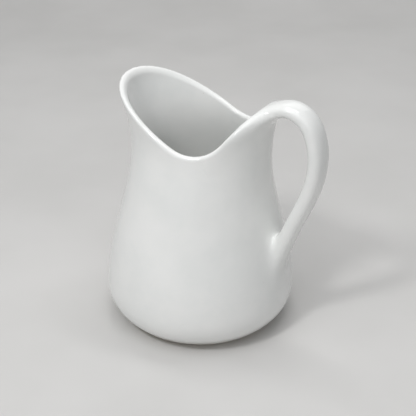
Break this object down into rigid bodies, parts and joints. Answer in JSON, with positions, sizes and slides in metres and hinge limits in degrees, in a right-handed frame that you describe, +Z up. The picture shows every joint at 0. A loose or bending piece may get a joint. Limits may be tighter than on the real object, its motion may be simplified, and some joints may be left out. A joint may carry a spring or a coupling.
{
  "type": "pitcher",
  "caption": "White glazed ceramic pitcher with a swelling belly, a waisted neck, a sloping rim that rises to a broad pouring lip, a bare foot ring and an arched strap handle.",
  "frame": {"origin": "centre of the foot, on the plane that the pitcher stands on", "axes": "+Z up along the body's axis, +X towards the handle, spout at -X, symmetric about the XZ plane"},
  "size_m": [0.1428, 0.12, 0.1563],
  "materials": {
    "white_glaze": "smooth glossy white glaze",
    "bare_clay": "wiped bare fired clay, matt"
  },
  "bodies": {
    "root": {"body_shell": "white_glaze", "foot_ring": "bare_clay", "handle": "white_glaze", "upper_slip_joint": "white_glaze", "lower_slip_joint": "white_glaze"}
  },
  "joints": []
}
